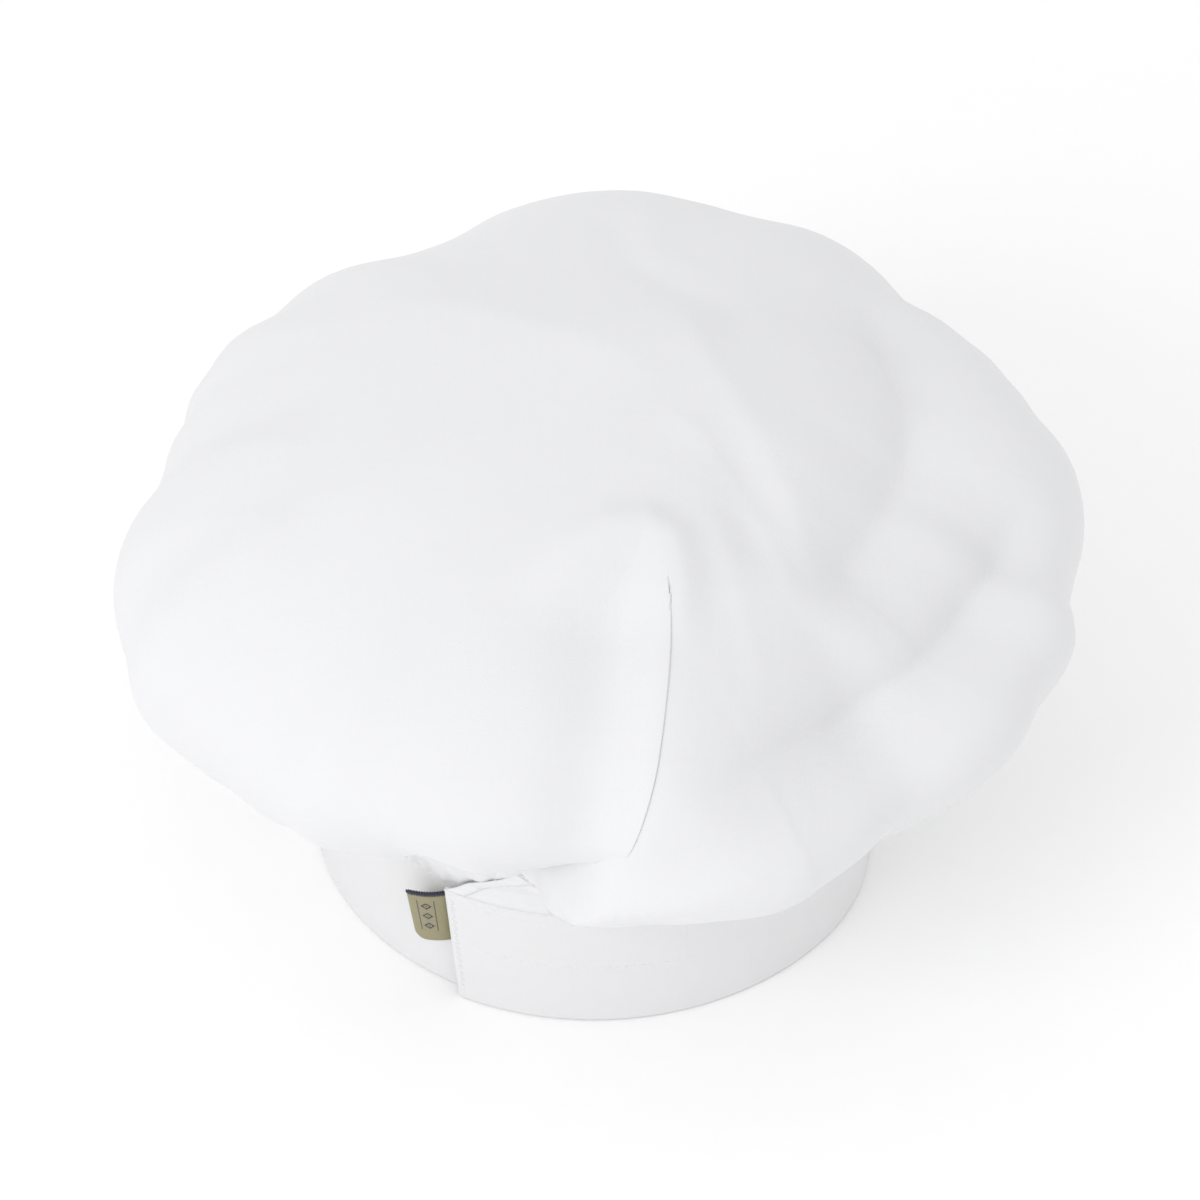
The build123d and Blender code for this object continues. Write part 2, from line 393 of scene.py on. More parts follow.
class CrownShape:
    """Works out where each place on the flat cut goes. Distances are in millimetres until the end."""

    # How far the rim stands out past an even one, by angle.
    SWELLS = [
        (-172, 8.5), (-163, 5), (-155, 4.2), (-147, 0.5), (-139, -3.3), (-125, 3), (-110, 1), (-95, 3.5), (-86, 2),
        (-76, -2.5), (-68, -8.5), (-60, -10), (-50, -4), (-38, -5.5), (-30, -3.5), (-22, -8.2), (-14, -9.6),
        (-6, -9.2), (2, -2), (10, 1.8), (18, 2), (26, 5.4), (33, -1.8), (40, -5), (48, -4), (55, 1.5), (62, 0),
        (75, 0), (120, 0), (130, -7), (138, -0.6), (146, 3.2), (154, 2.4), (162, 5.4), (168, 2.2), (174, 1.8),
        (180, 5.8),
    ]  # fmt: skip
    # The pleat's edge: distance from the middle, angle.
    PLEAT = [(0, 108), (60, 108), (87, 105.5), (103, 103.2), (122, 100.5), (140, 98.2), (155, 96.4), (170, 94.9),
             (200, 92.4), (225, 91), (250, 88), (281, 86)]  # fmt: skip
    PLEAT_DEPTH = [(0, 1), (80, 2), (120, 5), (160, 9), (200, 18), (225, 29), (281, 25)]
    # How far back from the pleat's edge the right lobe turns in, by distance from the middle.
    CORNER = [(0, 0), (190, -1), (208, -8), (224, -17), (281, -18)]
    # How far the left lobe is drawn up over the closure, by angle.
    DRAWN_UP = [(34, 0), (42, 1.5), (48, 3.5), (54, 7), (60, 11.5), (66, 15.5), (72, 15.6), (75, 15.4), (78, 17),
                (84, 21.5), (90, 23), (96, 23.4), (110, 23.4)]  # fmt: skip

    def __init__(self, rim=155.5, tall=72.9):
        # the profile: most of an ellipse, a neck that curves in under it, and the part caught in the band
        neck, middle = 104, 118.5
        turn = np.linspace(0, pi - np.arcsin(neck / rim), 1200)
        r, z = rim * np.sin(turn), middle + tall * np.cos(turn)
        t = np.linspace(0, 1, 120)[1:]
        foot, knee = (SEAM_RADIUS, 52.0), (96.0, 60.0)
        r = np.concatenate([r, (1 - t) ** 2 * r[-1] + 2 * t * (1 - t) * knee[0] + t**2 * foot[0], [SEAM_RADIUS]])
        z = np.concatenate([z, (1 - t) ** 2 * z[-1] + 2 * t * (1 - t) * knee[1] + t**2 * foot[1], [42.3]])
        self.length = np.concatenate([[0], np.cumsum(np.hypot(np.diff(r), np.diff(z)))])
        self.r, self.z = r, z
        slope = np.array([np.gradient(z, self.length), np.gradient(r, self.length)])
        self.out_r, self.out_z = -slope[0], slope[1]

    def relief(self, x, y):
        """How far the cloth stands off its even puff, from the folds and hollows listed below."""
        out = np.zeros(np.shape(x))

        def fold(points, width, height, other=None, ends=(0.18, 0.18), profile=bell):
            """A fold along a path: its width left of the path, its height, its other width, where it fades."""
            distance, along, side = near_path(x, y, points)
            wide = np.where(side > 0, width, other or width)
            fade = smooth(0, ends[0], along) * (1 - smooth(1 - ends[1], 1, along))
            return height * profile(distance, wide) * fade

        def patch(centre, radii, turn, height):
            c, s = cos(radians(turn)), sin(radians(turn))
            u = ((x - centre[0]) * c + (y - centre[1]) * s) / radii[0]
            v = (-(x - centre[0]) * s + (y - centre[1]) * c) / radii[1]
            return height * np.exp(-(u * u + v * v))

        # the lip that curls round the pleat's top, and its crest down beside the edge
        out += fold([(24, 92), (14, 78), (5, 69), (-6, 63), (-16, 62), (-23, 67), (-26, 78), (-26, 92), (-25, 110)],
                    8, 5.5, 12, (0.45, 0.3))  # fmt: skip
        out += fold([(-25, 88), (-24, 104), (-22, 122), (-19, 140), (-17, 156), (-12, 180), (-10, 205)], 34, 4.0, 14,
                    (0.25, 0.25))  # fmt: skip
        # the hollow inside it: an easy slope on the left, a short one up to the edge
        out += fold([(-6, 76), (-7, 95), (-6, 121), (-3, 150), (0, 200)], 10, -8.0, 19, (0.2, 0.25))
        # the steep fall to the right of the lip
        out += fold([(-38, 14), (-47, 34), (-52, 56), (-53, 84)], 14, -3.6, 11, (0.3, 0.35))
        # faint creases that run from the top towards the right
        out += fold([(-20, 10), (-34, 24), (-47, 44), (-60, 68), (-66, 86)], 5, 1.3, profile=crease)
        out += fold([(-36, 48), (-44, 78), (-51, 103), (-54, 118)], 5, 0.8, profile=crease)
        # the flat facet: its left edge, and the valley along its right
        out += fold([(-26, -52), (-32, -18), (-48, 14), (-62, 42), (-73, 72)], 16, 4.6, 24, (0.25, 0.2), crease)
        out += fold([(-96, -92), (-107, -30), (-108, 4), (-95, 38), (-80, 68), (-72, 86)], 30, -16.0, 24,
                    (0.2, 0.18), crease)  # fmt: skip
        # the edge of the top, lit on one side
        out += fold([(96, -70), (47, -42), (1, -16), (-30, 6)], 26, 3.6, 20, (0.3, 0.2), crease)
        out += patch((10, -74), (70, 30), 10, -3.0)
        out += fold([(-4, -118), (-12, -72), (-34, -48), (-60, -40)], 8, -1.6, profile=crease)
        out += fold([(-14, -122), (-22, -78), (-42, -56)], 9, 0.8)
        # the long valley on the right, and the roll of the rim below it
        out += fold([(-29, 158), (-54, 137), (-84, 118), (-112, 92), (-131, 66), (-147, 30), (-154, 4)], 17, -15.0, 26,
                    (0.3, 0.18), crease)  # fmt: skip
        out += fold([(-26, 203), (-54, 184), (-89, 160), (-118, 133), (-148, 90), (-164, 45), (-170, 5)], 16, 8.5, 20,
                    (0.25, 0.2))  # fmt: skip
        # faint pulls on the left rim
        out += fold([(165, -18), (125, 2), (86, 16)], 5, 0.9, profile=crease)
        out += fold([(170, 22), (122, 37), (96, 44)], 5, 0.8, profile=crease)
        out += fold([(176, 74), (126, 88), (104, 92)], 6, 0.7, profile=crease)
        out += fold([(140, 60), (110, 62)], 6, -0.5)
        # soft dents all over
        rng = np.random.default_rng(8)
        for _ in range(70):
            away, turn = 150 * np.sqrt(rng.uniform(0.02, 1.6)), rng.uniform(0, 2 * pi)
            wide, long = rng.uniform(9, 16), rng.uniform(18, 46)
            centre = (away * cos(turn), away * sin(turn))
            out += patch(centre, (long, wide), rng.uniform(0, 180), rng.uniform(-0.7, 0.7))
        return out

    def gathers(self, along, angle):
        """Radial folds from the seam, which open out and fade over the rim."""
        rng = np.random.default_rng(7)
        drift = 3.0 * waves(rng, angle, 4, 3, 9)
        bold = waves(rng, angle + drift, 5, 26, 44)
        fine = waves(rng, angle + drift, 6, 70, 104)
        reach = waves(rng, angle, 3, 7, 15)
        opens = 168 + 50 * smooth(-0.35, 0.35, np.sin(np.radians(angle))) + 10 * reach
        over_rim = smooth(opens - 45, opens + 30, along) * (1 - smooth(238, 268, along))
        under = smooth(opens + 8, opens + 52, along)
        tight = 1 - 0.62 * smooth(250, 273, along)
        return 0.9 * bold * over_rim + (2.0 * fine + 1.4 * np.abs(bold)) * under * tight

    def pleat_angle(self, along):
        return round_curve(self.PLEAT, along)

    def place(self, along, angle, sideways=0.0, lift=0.0, side=0.0, depth=0.0):
        """The puff's surface in millimetres. side is -1 left of the pleat, +1 right of it and 0 inside its fold,
        where sideways runs along the cloth's width and depth is how far that fold has been followed, 0 to 1. lift
        stands the cloth off the puff."""
        r = np.interp(along, self.length, self.r)
        z = np.interp(along, self.length, self.z)
        n_r, n_z = np.interp(along, self.length, self.out_r), np.interp(along, self.length, self.out_z)
        angle = angle + np.degrees(sideways / np.maximum(r, 20))
        x, y = along * np.cos(np.radians(angle)), along * np.sin(np.radians(angle))
        puff = round_curve(self.SWELLS, (angle + 180) % 360 - 180, 360) * bell(along - 165, 55)
        off = self.relief(x, y) + puff + self.gathers(along, angle) + lift
        r, z = r + n_r * off, z + n_z * off
        # the left lobe is drawn up over the closure
        from_pleat = np.radians(angle - self.pleat_angle(along)) * r
        lower = smooth(172, 208, along)
        kept = 1 - smooth(mixed(-6.0, -22.0, lower), mixed(60.0, -8.0, lower), from_pleat)
        share = np.where(side < 0, 1.0, np.where(side > 0, kept, np.where(depth < 0.5, 1.0, kept)))
        turn = (angle + 90) % 360 - 90
        up = round_curve(self.DRAWN_UP, np.clip(turn, 34, 110)) * share
        right_up = 3.2 * smooth(70, 92, turn) * (1 - smooth(118, 142, turn))
        up = np.maximum(up, right_up) * np.where(np.cos(np.radians(angle - CLOSURE)) > 0, 1, 0)
        up = up * smooth(140, 214, along) * (1 - smooth(245, 273, along))
        r, z = r - 0.695 * up, z + 0.719 * up
        # the right lobe's corner turns in under the left one
        corner = round_curve(self.CORNER, along)
        inner = np.where((side == 0) & (depth >= 0.5), 1 - smooth(corner - 11, corner + 1, from_pleat), 0.0)
        inner = inner * smooth(186, 206, along) * (1 - smooth(246, 270, along))
        r, z = r - 20 * inner, z + 6 * inner
        # the seam follows the band where it steps out over its tail
        step = 4.4 * smooth(178, 146, angle % 360) * (1 - smooth(136, 142, -(angle % 360) + 278))
        r = r + step * smooth(240, 262, along)
        # behind the slit's hem it is pushed out by the tail below
        r = r + 2.2 * bell(turn - 63, 9) * smooth(258, 270, along) * (1 - smooth(279, 286, along))
        return np.stack([r * np.cos(np.radians(angle)), r * np.sin(np.radians(angle)), z], axis=-1)


def number_setting(name, description, default, **limits):
    return bpy.props.FloatProperty(name=name, description=description, default=default, **limits)


def length_setting(name, description, default, **limits):
    return number_setting(name, description, default, unit="LENGTH", **limits)


def count_setting(name, description, default, least):
    return bpy.props.IntProperty(name=name, description=description, default=default, min=least)


def colour_setting(name, description, default):
    return bpy.props.FloatVectorProperty(name=name, description=description, default=default, subtype="COLOR")


class CrownSettings(bpy.types.PropertyGroup):
    """The puffed crown."""

    rim_radius: length_setting("Rim radius", "Half the puffed crown's width", 0.1555, min=0.12, max=0.17)
    half_height: length_setting("Half height", "Half the puff's height", 0.0729, min=0.04, max=0.08)
    rows: count_setting("Rows", "Points from the middle to the seam", 124, 40)
    columns: count_setting("Columns", "Points round the crown", 300, 90)
    cloth_thickness: length_setting("Cloth", "Thickness of one layer", 0.0004, min=0.0002)
    cloth_colour: colour_setting("Colour", "White of the crown's cloth", (0.78, 0.782, 0.795))


class BandSettings(bpy.types.PropertyGroup):
    """The headband, its flap and its stitching."""

    cloth_colour: colour_setting("Colour", "White of the band's cloth", (0.77, 0.77, 0.78))
    thread_colour: colour_setting("Thread", "White of the stitches", (0.83, 0.83, 0.845))
    stitch_length: length_setting("Stitch length", "From one needle hole to the next", 0.0026)


class LabelSettings(bpy.types.PropertyGroup):
    """The woven label under the flap's end."""

    ground_colour: colour_setting("Colour", "The label's olive ground", (0.36, 0.325, 0.17))
    motif_colour: colour_setting("Motif", "The woven shapes and the edging", (0.012, 0.013, 0.035))


class StageSettings(bpy.types.PropertyGroup):
    """Floor, lights and camera."""

    floor_colour: colour_setting("Floor", "Pale floor", (0.99, 0.99, 0.99))
    lens: number_setting("Lens", "Focal length in millimetres", 145.7)
    key_power: number_setting("Key light", "Watts", 9.0, min=0)
    fill_power: number_setting("Sky", "Strength of the even light", 0.95, min=0)


def fold_path(depth, lift):
    """The pleat's cross-section: over its edge, back under the cloth, and out again below. One row per place."""
    left = np.array([-0.45, -0.2, 0.0, 0.14, 0.0, -0.6])
    left_lift = np.array([1.0, 1.0, 0.92, 0.6, 0.25, 0.14])
    back = np.array([0.15, 0.35, 0.6, 0.8, 0.94])
    turn = np.array([1.0, 1.0, 0.94])
    out = np.linspace(0.93, 0.04, 18)
    sideways = np.concatenate([
        np.broadcast_to(left, (len(depth), len(left))),
        -np.outer(depth, back), -np.outer(depth, turn), -np.outer(depth, out),
        np.broadcast_to([0.0, 0.35], (len(depth), 2)),
    ], axis=1)  # fmt: skip
    heights = np.concatenate([left_lift, np.full(5, 0.14), [0.12, 0.08, 0.03], np.zeros(len(out) + 2)])
    followed = np.concatenate([np.zeros(6), np.full(5, 0.3), [0.4, 0.6, 0.8], np.ones(len(out) + 2)])
    return sideways, np.outer(lift, heights), followed


def crown_points(shape, rows, columns):
    """All the crown's points, row by row from the middle of the cut to the seam, and their places on the cut."""
    rim_share = np.linspace(0, 1, rows) ** 0.92
    along = 2.5 + (shape.length[-1] - 2.6) * rim_share
    line = shape.pleat_angle(along)
    # the points of a row stand closer together near the pleat
    t = np.linspace(0.0035, 0.9965, columns)
    round_offset = 360 * (t - 0.62 * np.sin(2 * pi * t) / (2 * pi))
    turned = (line - PLEAT_MIDDLE)[:, None] * (0.5 + 0.5 * np.cos(np.radians(round_offset)))[None, :]
    angle = PLEAT_MIDDLE + turned + round_offset[None, :]
    r_here = np.interp(along, shape.length, shape.r)
    opened = smooth(PLEAT_START, PLEAT_START + 26, along)
    full_lift = 0.75 * opened
    side = np.where(round_offset < 180, 1.0, -1.0)
    left_mm = np.radians(360 - round_offset)[None, :] * r_here[:, None]
    lift = full_lift[:, None] * (side < 0)[None, :] * (1 - smooth(6, 42, left_mm))
    regular = shape.place(along[:, None], angle, 0.0, lift, side[None, :], 1.0)
    depth = round_curve(shape.PLEAT_DEPTH, along) * opened
    sideways, heights, followed = fold_path(depth, full_lift)
    plain = np.linspace(-1, 1, sideways.shape[1])[None, :] * (np.radians(0.36) * r_here)[:, None]
    sideways = mixed(plain, sideways, opened[:, None])
    folded = shape.place(along[:, None], line[:, None], sideways, heights, 0.0, followed[None, :])
    points = np.concatenate([regular, folded], axis=1) * MM
    cut_angle = np.concatenate([angle, np.broadcast_to(line[:, None] + 360, folded.shape[:2])], axis=1)
    cut_side = np.concatenate([np.zeros(angle.shape), sideways - sideways[:, :1]], axis=1)
    return points, along, cut_angle, cut_side


def add_cut_map(target, coordinates):
    """The piece's UV map, in metres of cloth."""
    layer = target.data.uv_layers.new(name="cut")
    loops = np.zeros(len(target.data.loops), np.int32)
    target.data.loops.foreach_get("vertex_index", loops)
    layer.data.foreach_set("uv", np.asarray(coordinates, np.float32)[loops].ravel())


class TOQUE_OT_crown(bpy.types.Operator):
    """Gathers the round cut into a puffed crown with its pleat at the back"""

    bl_idname = "toque.crown"
    bl_label = "Crown"

    def execute(self, context):
        sizes = context.scene.toque_crown
        shape = CrownShape(sizes.rim_radius / MM, sizes.half_height / MM)
        points, along, angle, extra = crown_points(shape, sizes.rows, sizes.columns)
        rows, columns = points.shape[:2]
        flat = points.reshape(-1, 3)
        middle = points[0].mean(axis=0)
        faces = [list(q) for q in grid_faces(rows, columns, around=True)]
        faces += [[len(flat), (c + 1) % columns, c] for c in range(columns)]
        crown = mesh_object("crown_cloth", np.vstack([flat, middle]), [f[::-1] for f in faces])
        across, up = np.cos(np.radians(angle)), np.sin(np.radians(angle))
        cut = np.stack([along[:, None] * across - extra * up, along[:, None] * up + extra * across], axis=-1)
        add_cut_map(crown, np.vstack([cut.reshape(-1, 2) * MM, [[0, 0]]]))
        as_cloth(crown, sizes.cloth_thickness, cloth_material("crown_poplin", sizes.cloth_colour), offset=-1)
        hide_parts("crown")
        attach(crown, "hat")
        return {"FINISHED"}


# ---------------------------------------------------------------- the band


def band_radius(angle, depth):
    """Radius of the band's cloth at a run-round angle, that far out from its inner face."""
    t = np.clip((STEP_FROM - np.asarray(angle, float)) / (STEP_FROM - STEP_TO), 0, 1)
    eased = np.where(t < 0.5, 2 * t * t, 1 - 2 * (1 - t) ** 2)
    return HEAD_RADIUS + STEP_OUT * eased + depth


def band_section():
    """The folded cloth's cross-section as (depth, height) in metres: turned in at the top, down the outside, under
    the bottom fold, up the inside and turned in again."""
    rows_out, rows_in = 46, 20
    half = BAND_CLOTH / 2
    outer, inner = BAND_THICK - half, half
    top, tuck = BAND_TOP - half, 0.27 * MM
    low, turning = 0.9 * MM, 7 * MM

    def arc(middle, height, wide, tall, turns):
        return [(middle + wide * cos(a), height + tall * sin(a)) for a in turns]

    over = [pi - step * pi / 4 for step in range(1, 5)]
    under = [-step * pi / 8 for step in range(1, 8)]
    bottom_radius = (outer - inner) / 2
    points = [(outer - 2 * tuck, top - turning), (outer - 2 * tuck, top - tuck)]
    points += arc(outer - tuck, top - tuck, tuck, tuck, over)
    points += [(outer, h) for h in np.linspace(top - tuck, low, rows_out + 1)[1:]]
    points += arc(inner + bottom_radius, low, bottom_radius, low - half, under)
    points += [(inner, h) for h in np.linspace(low, top - tuck, rows_in)]
    points += arc(inner + tuck, top - tuck, tuck, tuck, over)
    points.append((inner + 2 * tuck, top - turning))
    return np.array(points)


def band_swell(angle, height):
    """How far the band's outer wall swells: its cloth's own waves, and the pull of its rows of stitches."""
    rng = np.random.default_rng(3)
    row = BAND_TOP - 0.0020
    wall = smooth(0.002, 0.008, height) * (1 - smooth(BAND_TOP - 0.0022, BAND_TOP, height))
    long_wave = waves(rng, angle, 4, 5, 13) * 0.5 + waves(rng, angle + height * 900, 4, 9, 25) * 0.5
    pucker = waves(rng, angle, 5, 90, 150)
    swell = 0.00028 * long_wave * wall + pucker * 0.00011 * bell(height - row, 0.0022)
    swell = swell - 0.00022 * bell(height - row, 0.0007)
    # the box of stitches through the flap draws its cloth in
    low, high = z_range("hook_tape_stitching")
    first, last = HOOK_BOX
    in_box = smooth(first - 1, first, angle) * (1 - smooth(last, last + 1, angle))
    for level in (low, high):
        swell = swell - in_box * (0.0002 + 0.00008 * pucker) * bell(height - level, 0.0009)
    upright = smooth(low - 0.001, low, height) * (1 - smooth(high, high + 0.001, height))
    for end in HOOK_BOX:
        swell = swell - 0.0002 * upright * bell(angle - end, 0.5)
    # and so does the row that closes the flap's end
    return swell - 0.00012 * bell(angle - FLAP_END - 1.35, 0.8) * wall


def slanted(angle, height):
    """Run-round angles moved so that the flap's end slopes, its foot further back than its top."""
    near_end = smooth(FLAP_END + 16, FLAP_END + 2, angle)
    return angle + END_SLOPE * np.clip(1 - height / BAND_TOP, 0, 1) * near_end


def band_points(angles, closed_end):
    """The band cloth at run-round angles. closed_end is the angle of the end where its two walls are sewn together."""
    section = band_section()
    depth, height = section[:, 0][None, :], section[:, 1][None, :]
    a = np.asarray(angles)[:, None]
    outside = smooth(0.6 * BAND_THICK, 0.9 * BAND_THICK, depth)
    inside = 1 - smooth(0.1 * BAND_THICK, 0.4 * BAND_THICK, depth)
    swell = band_swell(a, height)
    depth = depth + swell * outside - 0.6 * swell * inside
    to_end = np.abs(a - closed_end) * radians(1) * BAND_RADIUS
    squeeze = np.sqrt(np.clip(1 - (1 - np.clip(to_end / 0.0012, 0, 1)) ** 2, 0, 1))
    middle = BAND_THICK / 2
    depth = middle + (depth - middle) * mixed(0.28, 1.0, squeeze)
    turned = np.radians(slanted(a, height))
    r = band_radius(a, depth)
    x, y = r * np.cos(turned), r * np.sin(turned)
    z = np.broadcast_to(height, x.shape)
    run = -np.radians(np.asarray(angles)) * BAND_RADIUS
    length = np.concatenate([[0], np.cumsum(np.linalg.norm(np.diff(section, axis=0), axis=1))])
    cut = np.stack(np.broadcast_arrays(run[:, None], length[None, :]), axis=-1)
    return np.stack([x, y, z], axis=-1), cut


def band_piece(name, angles, closed_end, material):
    points, cut = band_points(angles, closed_end)
    rows, columns = points.shape[:2]
    piece = mesh_object(name, points.reshape(-1, 3), grid_faces(rows, columns))
    add_cut_map(piece, cut.reshape(-1, 2))
    as_cloth(piece, BAND_CLOTH, material)
    return piece


def run_angles(start, end, sewn_end):
    """Run-round angles from start back to end, 1.5 degrees apart and closer together by the sewn end."""
    angles = list(np.linspace(start, end, int(abs(end - start) / 1.5) + 1))
    inward = 1 if sewn_end == end else -1
    close = [sewn_end + inward * d for d in (0.1, 0.25, 0.45, 0.7, 1.0)]
    return sorted(set(angles + close), reverse=True)


def folded_flat(angles):
    """The cut of a stretch of band cloth: its length, and its width with both walls and turnings."""
    section = band_section()
    width = float(np.linalg.norm(np.diff(section, axis=0), axis=1).sum())
    return (abs(angles[-1] - angles[0]) * radians(1) * BAND_FLAT_RADIUS, width + 0.01)


class TOQUE_OT_band(bpy.types.Operator):
    """Folds the band's cloth round its interlining, from the tail's end to the flap's end"""

    bl_idname = "toque.band"
    bl_label = "Band"

    def execute(self, context):
        cloth = cloth_material("band_poplin", context.scene.toque_band.cloth_colour, crumple=0.35)
        fixed = run_angles(TAIL_END, BAND_SPLIT, TAIL_END)
        band = band_piece("band_main_cloth", fixed, TAIL_END, cloth)
        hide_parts("band_cloth")
        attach(band, "hat")
        folded_flat(fixed)
        moving = run_angles(BAND_SPLIT, FLAP_END, FLAP_END)
        flap = band_piece("band_flap_cloth", moving, FLAP_END, cloth)
        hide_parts("flap_cloth")
        bends_with_flap(flap)
        folded_flat(moving)
        return {"FINISHED"}


# ---------------------------------------------------------------- small shapes that repeat


def taken_shape():
    """Takes the shape just modelled as points and faces, and removes its object."""
    bpy.ops.mesh.select_all(action="SELECT")
    bpy.ops.mesh.normals_make_consistent(inside=False)
    bpy.ops.object.mode_set(mode="OBJECT")
    model = bpy.context.active_object
    points = np.array([v.co for v in model.data.vertices])
    faces = [list(f.vertices) for f in model.data.polygons]
    bpy.data.objects.remove(model)
    return points, faces


def stitch_shape():
    """One stitch along X between its two needle holes at -1 and 1, a rounded thread that dips at both ends."""
    bpy.ops.object.select_all(action="DESELECT")
    bpy.ops.mesh.primitive_uv_sphere_add(segments=7, ring_count=7, radius=1, rotation=(0, pi / 2, 0))
    bpy.ops.object.transform_apply(location=False, rotation=True, scale=False)
    bpy.ops.object.mode_set(mode="EDIT")
    points, faces = taken_shape()
    points[:, 2] += 0.9 * (1 - points[:, 0] ** 2) - 0.55
    return points, faces


def wire_shape(thread, bend, stem, turn):
    """One bent wire: up along a stem, then round a bend of that radius through an angle in degrees."""
    bpy.ops.object.select_all(action="DESELECT")
    bpy.ops.mesh.primitive_circle_add(vertices=5, radius=thread, fill_type="NGON", location=(bend, 0, 0))
    bpy.ops.object.transform_apply(location=True, rotation=False, scale=False)
    bpy.ops.object.mode_set(mode="EDIT")
    bpy.ops.mesh.select_all(action="SELECT")
    bpy.ops.mesh.extrude_region_move(TRANSFORM_OT_translate={"value": (0, 0, stem)})
    bpy.ops.mesh.spin(steps=6, angle=-radians(turn), center=(0, 0, stem), axis=(0, 1, 0))
    return taken_shape()


def repeated(name, shape, places, along, across, up, material):
    """Copies of a shape as one piece: its X, Y and Z follow along, across and up at each place."""
    points, faces = shape
    made = sum(points[None, :, k, None] * axes[:, None, :] for k, axes in enumerate((along, across, up)))
    made = made + places[:, None, :]
    count = len(points)
    all_faces = [[v + i * count for v in f] for i in range(len(places)) for f in faces]
    piece = mesh_object(name, made.reshape(-1, 3), all_faces)
    piece.data.materials.append(material)
    return piece


def unit(vectors):
    return vectors / np.linalg.norm(vectors, axis=-1, keepdims=True)


def holes_between(corners, spacing):
    """Needle holes at even spacing along straight runs between corners, each a run-round angle and a height."""
    holes = [corners[0]]
    for (a0, z0), (a1, z1) in zip(corners[:-1], corners[1:]):
        count = max(1, round(float(np.hypot(radians(a1 - a0) * STITCH_RADIUS, z1 - z0)) / spacing))
        holes += [(mixed(a0, a1, i / count), mixed(z0, z1, i / count)) for i in range(1, count + 1)]
    return holes


def sewn(name, holes, face, thread_width, material, seed=0):
    """A row of single stitches through needle holes, on a face that turns angles and heights into places."""
    rng = np.random.default_rng(seed)
    angles, heights = np.array(holes, float).T
    points, normals = face(angles, heights)
    start, end = points[:-1], points[1:]
    up = unit(normals[:-1] + normals[1:])
    reach = (end - start) / 2 * rng.uniform(0.86, 0.96, (len(start), 1))
    across = unit(np.cross(up, reach))
    slant = rng.uniform(-0.05, 0.05, (len(start), 1)) * np.linalg.norm(reach, axis=1, keepdims=True)
    along = reach + across * slant
    half = thread_width / 2
    return repeated(name, stitch_shape(), (start + end) / 2, along, across * half, up * half * 0.8, material)


def on_band(angles, heights, inside=False):
    """Places on the band's outer or inner face, and the way each faces."""
    swell = band_swell(angles, heights)
    depth = 0.6 * swell if inside else BAND_THICK + swell
    r = band_radius(angles, -depth if inside else depth)
    a = np.radians(slanted(angles, heights))
    outward = np.stack([np.cos(a), np.sin(a), np.zeros(len(a))], axis=-1)
    places = outward * r[:, None] + np.array([0, 0, 1.0]) * np.asarray(heights)[:, None]
    return places, -outward if inside else outward


def bends_with_flap(piece):
    """Bakes the piece's transform into its points; it stays where it is made."""
    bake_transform(piece)


class TOQUE_OT_stitching(bpy.types.Operator):
    """Sews every row of single stitches on the band and through its tapes"""

    bl_idname = "toque.stitching"
    bl_label = "Stitching"

    def execute(self, context):
        values = context.scene.toque_band
        self.thread = thread_material("sewing_thread", values.thread_colour)
        step, width = values.stitch_length, 0.00045
        top = sum(z_range("band_top_stitching")) / 2
        low, high = z_range("tail_end_stitching")
        rows = [
            ("band_top", [(TAIL_END - 0.6, top), (BAND_SPLIT, top)], "hat", False),
            ("flap_top", [(BAND_SPLIT, top), (FLAP_END + 0.5, top)], None, False),
            ("tail_end", [(TAIL_END - 1.3, low), (TAIL_END - 1.3, high)], "hat", False),
            ("loop_tape", self.box_corners("loop_tape_stitching", LOOP_BOX), "hat", True),
            ("hook_tape", self.box_corners("hook_tape_stitching", HOOK_BOX), "flap", False),
        ]
        for seed, (name, corners, body, inside) in enumerate(rows):
            self.row(name, holes_between(corners, step), body, width, seed, inside)
        low, high = z_range("flap_end_stitching")
        drop = 0.0015
        zigzag = [(FLAP_END + (0.75 if i % 2 else 1.95), high - i * drop) for i in range(int((high - low) / drop))]
        self.row("flap_end", zigzag, "flap", width, 9, False)
        return {"FINISHED"}

    def box_corners(self, node, angles):
        low, high = z_range(node)
        a, b = angles
        return [(a, high), (b, high), (b, low), (a, low), (a, high)]

    def row(self, name, holes, body, width, seed, inside):
        """One row of stitches, as a piece that rides on body, or stays where it is made when that is None."""
        node = f"{name}_stitching"
        piece = sewn(f"{name}_stitches", holes, lambda a, z: on_band(a, z, inside), width, self.thread, seed)
        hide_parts(node)
        if body:
            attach(piece, body)
        else:
            bends_with_flap(piece)


# ---------------------------------------------------------------- hook and loop tapes


def tape_strip(name, node, angles, inner, outer, material):
    """A strip between two angles and two radii, as tall as its node, with soft edges and ends that slope with the
    flap's."""
    low, high = z_range(node)
    heights = low + (high - low) * np.linspace(0, 1, 9)
    section = np.array([(inner, z) for z in heights] + [(outer, z) for z in heights[::-1]])
    section[[0, 8, 9, 17], 0] += np.array([1, 1, -1, -1]) * (outer - inner) * 0.22
    sides, count = len(section), int(abs(angles[1] - angles[0]) / 0.75)
    r, z = (np.broadcast_to(column, (count, sides)) for column in section.T)
    a = np.radians(slanted(np.linspace(*angles, count)[:, None], z))
    return closed_tube(name, np.stack([r * np.cos(a), r * np.sin(a), z], axis=-1), sides, material)


SELVEDGE = 0.0009  # the tape's edge that has no pile


